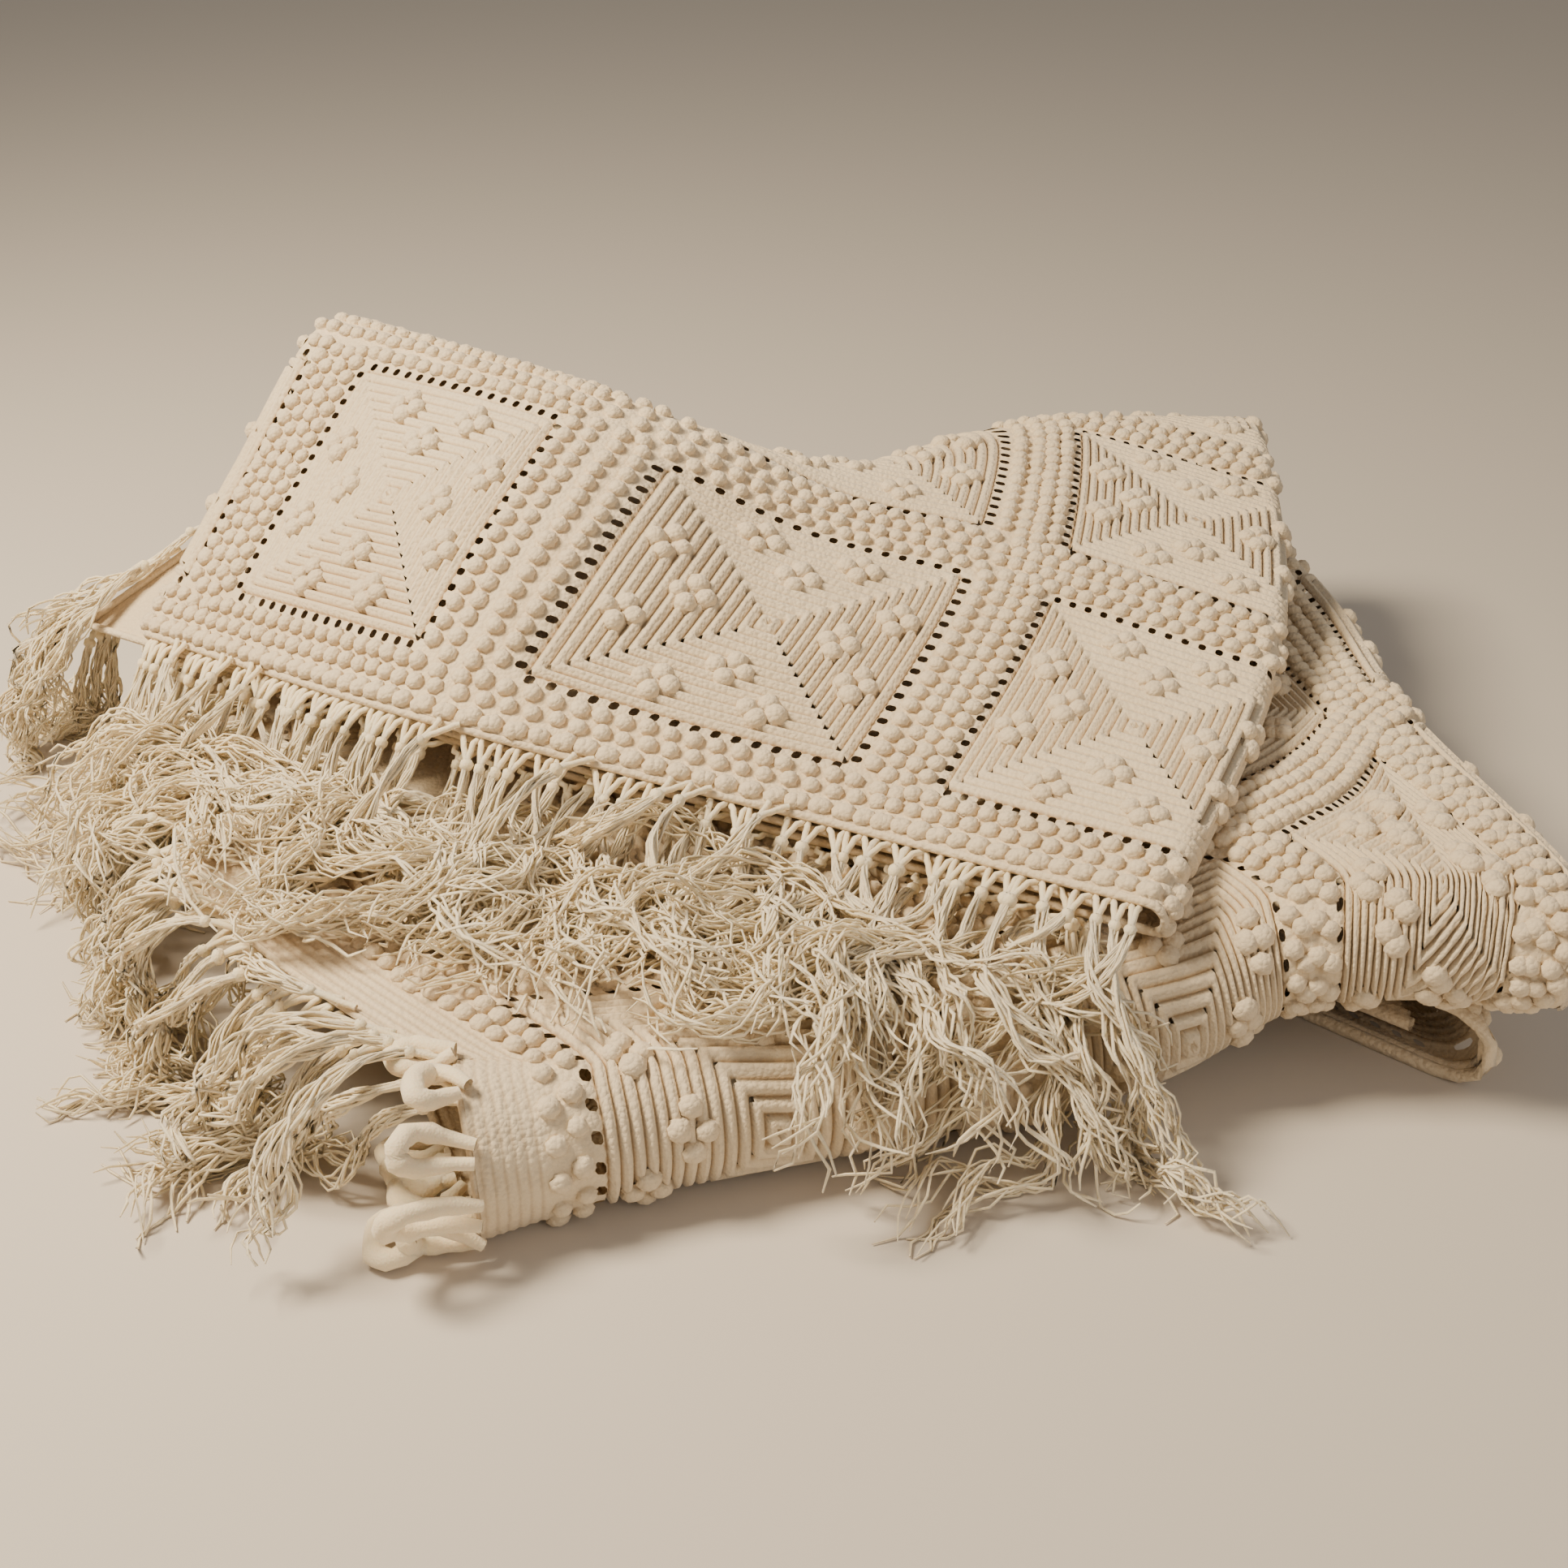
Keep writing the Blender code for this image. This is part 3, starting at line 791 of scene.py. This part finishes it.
# ---- fringe -------------------------------------------------------------------------
def heap_tree():
    """Coarse middle surface of the whole cloth, for strands to lie on."""
    grid = SURFACE[::4, ::4]
    quads = grid_quads(*grid.shape[:2])
    return BVHTree.FromPolygons(grid.reshape(-1, 3).tolist(), quads.reshape(-1, 4).tolist())


HEAP = heap_tree()


def kept_off(point, side_of, clear):
    """The point moved off the cloth, on the side where side_of is."""
    near, normal, _, _ = HEAP.find_nearest(point, 0.05)
    if near is None:
        return point
    side = 1.0 if (side_of - near).dot(normal) >= 0 else -1.0
    away = (point - near).dot(normal) * side
    flat = (point - near) - normal * (away * side)
    if away < clear and flat.length < clear:
        point = point + normal * (side * (clear - away))
    return point


LEFT_END = -0.408        # tassels' guides stay this side of the frame's box
FRONT_END = -0.335
STRAND_ROOM = 0.014      # how far past that their strands may go
MARCH = 0.006            # step of a guide
EDGE_CLEAR = 0.0055      # clearance from the cloth at the edge
CLEAR_OVER = 0.08        # it grows to a row's own clearance over this length


def hanging(root, heading, length, clear, stiff, sway):
    """Guide of one tassel: it leaves the edge, droops, and lies on what it meets."""
    step = MARCH
    path = [root.copy()]
    d = heading.normalized()
    turn = random.uniform(-1, 1) * sway
    for k in range(int(length / step)):
        turn += random.uniform(-1, 1) * sway * 0.55
        turn *= 0.88
        side = Vector((-d.y, d.x, 0.0))
        d = (d * stiff + Vector((0, 0, -1)) * (1 - stiff) + side * turn).normalized()
        here = path[-1]
        near = EDGE_CLEAR + (clear - EDGE_CLEAR) * min(1.0, k * step / CLEAR_OVER)
        p = kept_off(here + d * step, here, near)
        p.z = max(p.z, 0.0035 + clear * 0.3)
        p.x = max(p.x, LEFT_END)
        p.y = max(p.y, FRONT_END)
        moved = p - here
        if moved.length < step * 0.35:
            flat = Vector((heading.x, heading.y, 0.0)).normalized()
            p = kept_off(here + flat * step * 0.6 + Vector((0, 0, 0.003)), here, near)
            moved = p - here
        if moved.length > 1e-6:
            d = (d * 0.4 + moved.normalized() * 0.6).normalized()
        path.append(p)
    return path


def resampled(path, count):
    """The path with evenly spaced points, and its length."""
    pts = np.array([tuple(p) for p in path])
    t = np.concatenate([[0.0], np.cumsum(np.linalg.norm(np.diff(pts, axis=0), axis=1))])
    at = np.linspace(0.0, t[-1], count)
    return np.stack([np.interp(at, t, pts[:, k]) for k in range(3)], 1), t[-1]


def frames(paths):
    """Two unit vectors across each path at each of its points."""
    along = unit(np.gradient(paths, axis=1))
    ref = np.zeros_like(along)
    ref[..., 2] = 1.0
    flat = np.abs(along[..., 2]) > 0.9
    ref[flat] = (1.0, 0.0, 0.0)
    across = unit(np.cross(along, ref))
    return across, np.cross(across, along)


def tubes(paths, radius, sides):
    """Vertices and triangles of many thin tubes. radius is (paths, points)."""
    across, up = frames(paths)
    count, length = paths.shape[:2]
    angle = 2 * np.pi * np.arange(sides) / sides
    ring = (across[:, :, None, :] * np.cos(angle)[None, None, :, None]
            + up[:, :, None, :] * np.sin(angle)[None, None, :, None])
    verts = paths[:, :, None, :] + ring * radius[:, :, None, None]
    index = np.arange(count * length * sides).reshape(count, length, sides)
    a = index[:, :-1]
    b = index[:, 1:]
    quads = np.stack([a, b, np.roll(b, -1, axis=2), np.roll(a, -1, axis=2)], -1)
    return verts.reshape(-1, 3), quads.reshape(-1, 4)


def wavy(count, points, length, wave, size):
    """Smooth random offsets along strands, in two directions across them."""
    t = np.linspace(0.0, length, points)
    out = np.zeros((count, points, 2))
    for k in range(2):
        for f in (1.0, 1.8):
            phase = RNG.uniform(0, 2 * np.pi, (count, 1))
            pace = RNG.uniform(0.8, 1.25, (count, 1))
            out[:, :, k] += np.sin(2 * np.pi * f * pace * t[None] / wave + phase) / f
    return out * size


def tassel(path, strands, clear, spread, points=23):
    """Strands of one tassel around its guide, in three loose plies."""
    guide, length = resampled(path, points)
    across, up = frames(guide[None])
    t = np.linspace(0.0, 1.0, points)
    grow = 0.0016 + spread * smooth(t * 1.15) ** 0.8
    plies = 3
    ply_move = wavy(plies, points, length, 0.10, 1.0)
    ply_base = RNG.uniform(0, 2 * np.pi, plies)
    own = wavy(strands, points, length, 0.060, 1.0)
    paths = np.zeros((strands, points, 3))
    for k in range(strands):
        ply = k % plies
        a = ply_base[ply] + t * 5.0
        mid = (np.stack([np.cos(a), np.sin(a)], 1) * 0.55 + ply_move[ply] * 0.40) * grow[:, None]
        off = mid + own[k] * (0.0006 + 0.0035 * t * t + 0.18 * grow)[:, None]
        paths[k] = guide + across[0] * off[:, :1] + up[0] * off[:, 1:]
        cut = RNG.uniform(0.78, 1.0)
        keep, _ = resampled([Vector(v) for v in paths[k][: max(int(points * cut), 4)]], points)
        paths[k] = keep
    centre = [Vector(v) for v in guide]
    for k in range(strands):
        gap = clear * RNG.uniform(0.45, 1.3)
        for j in range(1, points):
            p = kept_off(Vector(paths[k, j]), centre[j], max(gap, 0.0042))
            p.z = max(p.z, 0.0009)
            p.x = max(p.x, LEFT_END - STRAND_ROOM)
            p.y = max(p.y, FRONT_END - STRAND_ROOM)
            paths[k, j] = p
    return paths


EDGE_IN = 0.012          # how far inside the edge its direction is read


def edge_points(kind, start, end, pitch):
    """Places along an edge of the cloth with the direction out of the cloth."""
    count = max(int(round(abs(end - start) / pitch)), 1)
    along = np.linspace(start, end, count + 1)
    none = np.zeros_like(along)
    if kind == "side":
        p, _ = cloth_at(none, along)
        q, _ = cloth_at(none + EDGE_IN, along)
    else:
        p, _ = cloth_at(along, none)
        q, _ = cloth_at(along, none + EDGE_IN)
    return p, unit(p - q)


def ball_shape(rings=4, segs=7):
    """Unit ball with small open poles, for the knots."""
    verts = []
    for r in range(rings + 1):
        a = math.pi * (r + 0.12) / (rings + 0.24)
        for k in range(segs):
            b = 2 * math.pi * k / segs
            verts.append((math.sin(a) * math.cos(b), math.sin(a) * math.sin(b), math.cos(a)))
    faces = []
    for r in range(rings):
        for k in range(segs):
            m = (k + 1) % segs
            faces.append((r * segs + k, (r + 1) * segs + k, (r + 1) * segs + m, r * segs + m))
    return np.array(verts), np.array(faces)


BALL_V, BALL_F = ball_shape()
STRAND_RADIUS = 0.00080
CORD_RADIUS = 0.0016
KNOT_RADIUS = 0.0032
CORD_POINTS = 8
Row = namedtuple("Row", "edge start end pitch length strands spread clear stiff sway head lead")


def knot_balls(knots):
    """A small uneven ball at each knot."""
    verts = []
    for knot in knots:
        size = KNOT_RADIUS * random.uniform(0.85, 1.2)
        verts.append(BALL_V * RNG.uniform(0.85, 1.15, (1, 3)) * size + np.array(knot))
    faces = (np.arange(len(knots)) * len(BALL_V))[:, None, None] + BALL_F[None]
    return np.concatenate(verts), faces.reshape(-1, 4)


def crossing_cord(start, root, first):
    """Cord from a place on the edge to a tassel's knot, kept off the cloth."""
    knot = first[-1]
    line = []
    for m in range(CORD_POINTS):
        f = m / (CORD_POINTS - 1)
        at = start.lerp(knot, f) + (first[int(f * (len(first) - 1))] - root.lerp(knot, f))
        line.append(kept_off(at, knot, 0.0040))
    return resampled(line, CORD_POINTS)[0]


def fringe(name, rows):
    """One piece of fringe: crossing cords, knots and loose strands."""
    strands = []
    cords = []
    knots = []
    for row in rows:
        p, out = edge_points(row.edge, row.start, row.end, row.pitch)
        total = len(p)
        for k in range(total):
            lean = random.uniform(-0.4, 0.4)
            side = Vector(p[min(k + 1, total - 1)] - p[max(k - 1, 0)]).normalized()
            heading = Vector(out[k]) + side * lean + Vector(row.lead)
            root = Vector(p[k])
            first = hanging(root, heading, row.head, row.clear * 0.75, 0.93, 0.05)
            knot = first[-1]
            go = (first[-1] - first[-2]).normalized() if len(first) > 1 else heading
            long = row.length * random.uniform(0.75, 1.12)
            lift = row.clear * random.uniform(0.8, 2.8)
            for _ in range(6):
                path = hanging(knot, go, long, lift, row.stiff, row.sway)
                if (path[-1] - root).dot(Vector(out[k])) > 0.25 * long:
                    break
            strands.append(tassel(path, row.strands, row.clear,
                                  row.spread * random.uniform(0.7, 1.3)))
            knots.append(knot)
            for j in (k - 1, k + 1):
                if not 0 <= j < total:
                    j = k
                start = Vector(p[j]) * 0.55 + root * 0.45
                cords.append(crossing_cord(start, root, first))
    paths = np.concatenate(strands)
    radius = np.full(paths.shape[:2], STRAND_RADIUS)
    radius *= RNG.uniform(0.75, 1.25, (len(paths), 1))
    radius[:, -1] *= 0.5
    cords = np.array(cords)
    parts = [tubes(paths, radius, 3),
             tubes(cords, np.full(cords.shape[:2], CORD_RADIUS), 5),
             knot_balls(knots)]
    faces = []
    base = 0
    for v, f in parts:
        faces.append(f + base)
        base += len(v)
    return new_object(name, np.concatenate([v for v, _ in parts]), np.concatenate(faces), STRAND)


foot_fringe = fringe("foot_fringe_strands", [
    Row(edge="foot", start=START_A + 0.004, end=START_L - 0.004, pitch=0.0088, length=0.200,
        strands=18, spread=0.0125, clear=0.0080, stiff=0.92, sway=0.22, head=0.019,
        lead=(0.0, 0.0, 0.0)),
])
foot_under = fringe("foot_fringe_under", [
    Row(edge="foot", start=LEN_C - 0.03, end=REACH + 0.02, pitch=0.017, length=0.180,
        strands=14, spread=0.0125, clear=0.0080, stiff=0.92, sway=0.20, head=0.018,
        lead=(0.0, 0.0, -0.1)),
])
flap_fringe = fringe("flap_side_strands", [
    Row(edge="side", start=0.001, end=0.085, pitch=0.0070, length=0.150,
        strands=16, spread=0.0125, clear=0.0070, stiff=0.90, sway=0.12, head=0.020,
        lead=(0.1, -0.8, -0.3)),
])
pack_fringe = fringe("pack_side_strands", [
    Row(edge="side", start=0.50, end=0.78, pitch=0.0100, length=0.100,
        strands=18, spread=0.0110, clear=0.0080, stiff=0.84, sway=0.14, head=0.022,
        lead=(0.0, 0.0, 0.0)),
    Row(edge="side", start=0.79, end=0.93, pitch=0.0090, length=0.155,
        strands=18, spread=0.0115, clear=0.0080, stiff=0.91, sway=0.14, head=0.022,
        lead=(0.0, 0.0, 0.0)),
])


def cord_piece(name, paths, radius, sides, mat):
    """Thick cords along paths with the same number of points."""
    paths = np.array(paths)
    v, f = tubes(paths, np.broadcast_to(radius, paths.shape[:2]), sides)
    return new_object(name, v, f, mat)


RIM_STEP = 0.004
RIM_RADIUS = 0.0022
HEM_RADIUS = 0.0034


def edge_cord(kind, start, end, s_place):
    """Path of a cord along one edge of the cloth, every few millimetres."""
    t = np.linspace(start, end, int(abs(end - start) / RIM_STEP))
    if kind == "side":
        p, _ = cloth_at(np.zeros_like(t), t)
    else:
        p, _ = cloth_at(t, np.full_like(t, s_place))
    return p


foot_rim = cord_piece("foot_rim", [edge_cord("foot", 0.0, WIDTH, 0.0)], RIM_RADIUS, 6, YARN)
side_rim = cord_piece("side_rim", [edge_cord("side", 0.0, LENGTH, 0.0)], RIM_RADIUS, 6, YARN)
hem_rim = cord_piece("hem_rim", [edge_cord("foot", 0.0, WIDTH, LENGTH - 0.001),
                                 edge_cord("foot", 0.0, WIDTH, LENGTH - 0.007)],
                     HEM_RADIUS, 7, YARN)


LOOP_POINTS = 20
LOOP_CLEAR = 0.0065      # loops' middles stay this far off the cloth and the floor


def loops():
    """The thick loops of cord at the left end of the front roll."""
    places = np.linspace(0.915, 1.035, 9)
    p, n = cloth_at(np.zeros_like(places), places)
    q, _ = cloth_at(np.full_like(places, EDGE_IN), places)
    out = unit(p - q)
    paths = []
    for k in range(len(places)):
        side = unit(np.cross(n[k], out[k]) + n[k] * random.uniform(-0.7, 0.7)
                    + out[k] * random.uniform(-0.4, 0.4))
        reach = random.uniform(0.018, 0.046)
        wide = random.uniform(0.004, 0.014)
        lift = random.uniform(-0.010, 0.018)
        path = []
        for t in np.linspace(0.0, 1.0, LOOP_POINTS):
            at = (p[k] + out[k] * reach * math.sin(math.pi * t) ** 0.7
                  + side * wide * math.sin(2 * math.pi * (t - 0.5))
                  + side * 0.006 * (t - 0.5)
                  + n[k] * lift * math.sin(math.pi * t))
            at += RNG.normal(0, 0.0010, 3)
            near = Vector(p[k] + out[k] * 0.02 + n[k] * 0.004)
            at = np.array(kept_off(Vector(at), near, LOOP_CLEAR))
            at[2] = max(at[2], LOOP_CLEAR)
            path.append(at)
        paths.append(path)
    paths = np.array(paths)
    for _ in range(2):
        paths[:, 1:-1] = (paths[:, :-2] + 2 * paths[:, 1:-1] + paths[:, 2:]) / 4
    t = np.linspace(0.0, 1.0, LOOP_POINTS)
    radius = 0.0028 + 0.0024 * np.sin(np.pi * t) ** 0.7
    radius = radius[None] * RNG.uniform(0.85, 1.15, (len(places), LOOP_POINTS))
    return cord_piece("roll_end_loops", paths, radius, 9, STRAND)


end_loops = loops()

# ---- floor, light and camera --------------------------------------------------------
bpy.ops.mesh.primitive_plane_add(size=16.0, location=(0.0, 0.0, 0.0))
floor = bpy.context.object
floor.name = "floor"
floor_look = bpy.data.materials.new("pale_floor")
floor_look.use_nodes = True
floor_shader = floor_look.node_tree.nodes["Principled BSDF"]
floor_shader.inputs["Base Color"].default_value = (0.62, 0.56, 0.49, 1.0)
floor_shader.inputs["Roughness"].default_value = 0.9
floor.data.materials.append(floor_look)

world = bpy.data.worlds.new("studio")
bpy.context.scene.world = world
world.use_nodes = True
background = world.node_tree.nodes["Background"]
background.inputs["Color"].default_value = (0.95, 0.90, 0.84, 1.0)
background.inputs["Strength"].default_value = 0.28
LIT = (0.0, 0.0, 0.1)    # where both lights point


def area_light(name, place, size, power, colour):
    """A square light aimed at the heap."""
    data = bpy.data.lights.new(name, "AREA")
    data.energy = power
    data.size = size
    data.color = colour
    obj = bpy.data.objects.new(name, data)
    obj.location = place
    aim = Vector(LIT) - Vector(place)
    obj.rotation_euler = aim.to_track_quat("-Z", "Y").to_euler()
    bpy.context.scene.collection.objects.link(obj)


area_light("key", (-0.85, -0.15, 1.35), 0.50, 50.0, (1.0, 0.85, 0.63))
area_light("fill", (1.2, -1.5, 1.0), 1.4, 9.0, (1.0, 0.92, 0.82))

cam = bpy.data.cameras.new("camera")
cam.lens = 50.0
cam.sensor_width = 36.0
camera = bpy.data.objects.new("camera", cam)
CAMERA_RISE = math.radians(30.0)
CAMERA_AWAY = 1.1
target = Vector((SHIFT[0], SHIFT[1], 0.08))
back_along = Vector((0.0, -math.cos(CAMERA_RISE), math.sin(CAMERA_RISE)))
camera.location = target + back_along * CAMERA_AWAY
camera.rotation_euler = (target - camera.location).to_track_quat("-Z", "Y").to_euler()
bpy.context.scene.collection.objects.link(camera)
bpy.context.scene.camera = camera

# ---- what each piece is -------------------------------------------------------------
for piece in (spread_flap, spread_pack, spread_base, pop_flap, pop_pack, pop_base,
              pop_back, foot_rim, side_rim, hem_rim):
    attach(piece, "root")
    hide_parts("spread")
for piece, node in ((foot_fringe, "foot_fringe"), (foot_under, "foot_fringe"),
                    (flap_fringe, "side_fringe_flap"), (pack_fringe, "side_fringe_pack"),
                    (end_loops, "side_fringe_pack")):
    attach(piece, "root")
    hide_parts(node)
